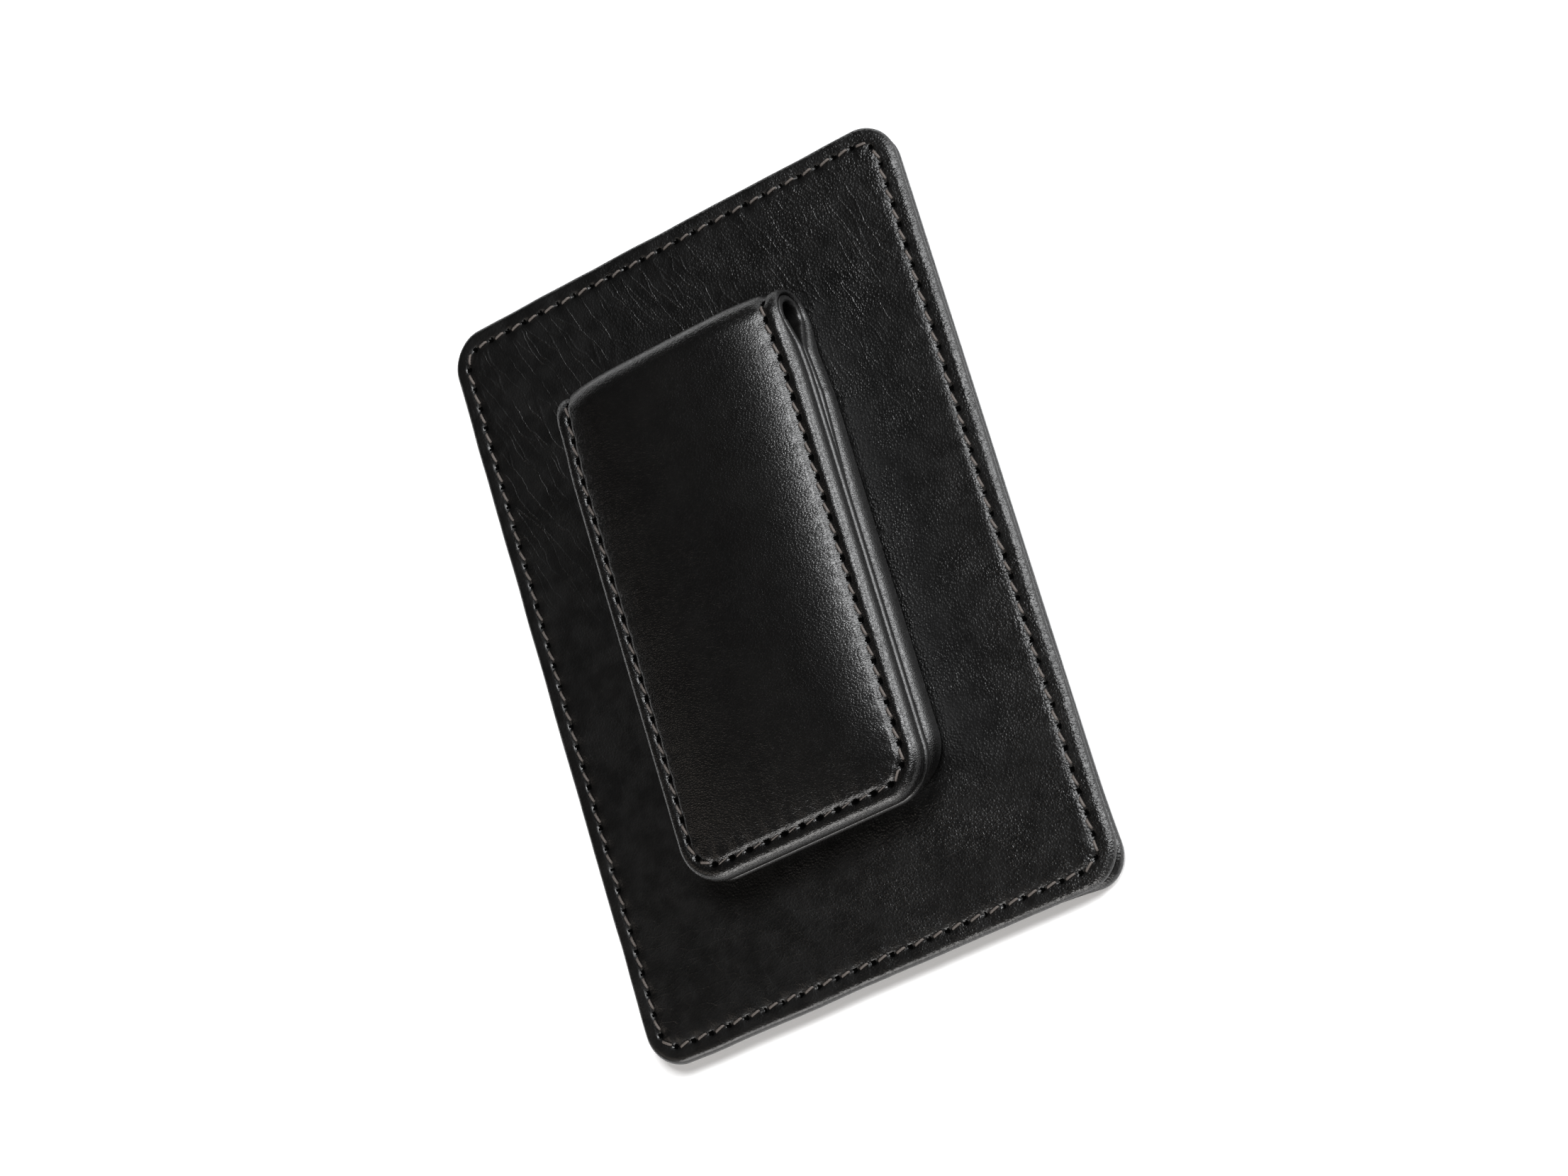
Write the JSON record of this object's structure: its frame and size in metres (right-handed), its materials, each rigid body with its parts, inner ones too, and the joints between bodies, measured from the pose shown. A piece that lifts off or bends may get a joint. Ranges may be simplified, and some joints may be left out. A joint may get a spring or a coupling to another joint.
{
  "type": "money clip",
  "caption": "Slim black leather card case with a padded magnetic money clip: a strap folded over at one end whose stitched flap closes on the case's face.",
  "frame": {"origin": "middle of the case, on the surface that it lies on, pocket side down", "axes": "+Z out of the case's face, through the clip; +Y along the case towards the clip's fold; +X across the case"},
  "size_m": [0.07, 0.1, 0.0122],
  "materials": {
    "case_leather": "black, pebbled grain with fine creases, satin",
    "strap_leather": "black, fine grain, soft sheen",
    "lining_leather": "black, smooth, satin",
    "textile_lining": "black woven textile",
    "board": "stiff fibre board",
    "foam": "soft closed foam",
    "magnet": "nickel-plated",
    "thread": "twisted thread, taupe"
  },
  "bodies": {
    "case": {"clip_side_panel": "case_leather", "clip_side_board": "board", "clip_side_lining": "textile_lining", "pocket_side_lining": "textile_lining", "pocket_side_panel": "case_leather", "inner_card_pocket": "case_leather", "outer_card_pocket": "case_leather", "case_face_thread": "thread", "case_back_thread": "thread", "base_leather": "strap_leather", "base_board": "board", "base_magnets": "magnet", "base_lining": "lining_leather", "base_thread": "thread", "fold_leather": "strap_leather", "fold_lining": "lining_leather"},
    "flap": {"flap_leather": "strap_leather", "flap_foam": "foam", "flap_board": "board", "flap_magnets": "magnet", "flap_lining": "lining_leather", "flap_face_thread": "thread", "flap_back_thread": "thread"}
  },
  "joints": [
    {"name": "flap_hinge", "type": "hinge", "parent": "case", "child": "flap", "pos_m": [0, 0.033, 0.00755], "axis": [-1, 0, 0], "range_deg": [0, 150], "deforming": ["fold_leather", "fold_lining"]}
  ]
}
